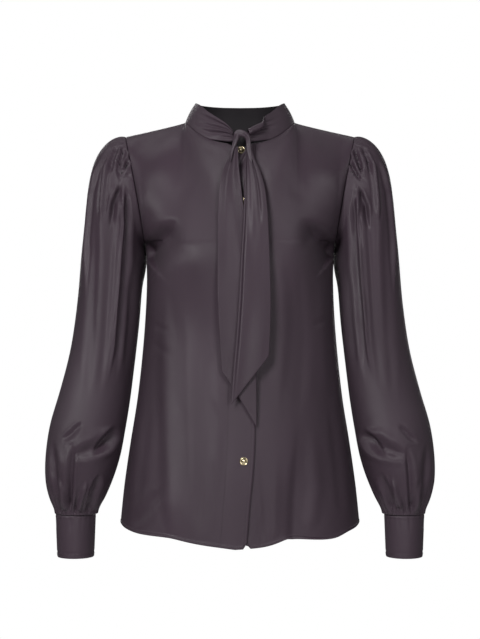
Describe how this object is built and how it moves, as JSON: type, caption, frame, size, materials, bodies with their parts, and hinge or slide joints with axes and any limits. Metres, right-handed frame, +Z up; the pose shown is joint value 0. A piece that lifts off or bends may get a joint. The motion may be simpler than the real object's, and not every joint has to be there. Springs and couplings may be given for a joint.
{
  "type": "tie-neck satin blouse in its worn shape, held by the wearer's neck and shoulders",
  "caption": "Hollow satin blouse with a stand collar tied in a long knot, gathered full sleeves, deep cuffs and a curved hem, filled out as if worn.",
  "frame": {"origin": "middle of the neck opening, level with the high points of the shoulders, where the wearer's neck and shoulders hold the blouse up", "axes": "+Z up, the front faces -Y, the wearer's left is at +X"},
  "size_m": [0.5856, 0.2751, 0.6771],
  "materials": {
    "satin": "dark aubergine satin, smooth with a soft sheen",
    "button_metal": "polished pale gold metal"
  },
  "bodies": {
    "root": {"front_right": "satin", "front_left": "satin", "back": "satin", "collar": "satin", "collar_stand_right": "satin", "collar_stand_left": "satin", "tie_knot": "satin", "tie_tail_under": "satin", "tie_tail_over": "satin", "sleeve_right": "satin", "sleeve_left": "satin", "cuff_right": "satin", "cuff_left": "satin", "button_front_1": "button_metal", "button_front_2": "button_metal", "button_front_3": "button_metal", "button_front_4": "button_metal", "button_front_5": "button_metal", "button_front_6": "button_metal", "button_cuff_left_1": "button_metal", "button_cuff_left_2": "button_metal", "button_cuff_right_1": "button_metal", "button_cuff_right_2": "button_metal"}
  },
  "joints": []
}
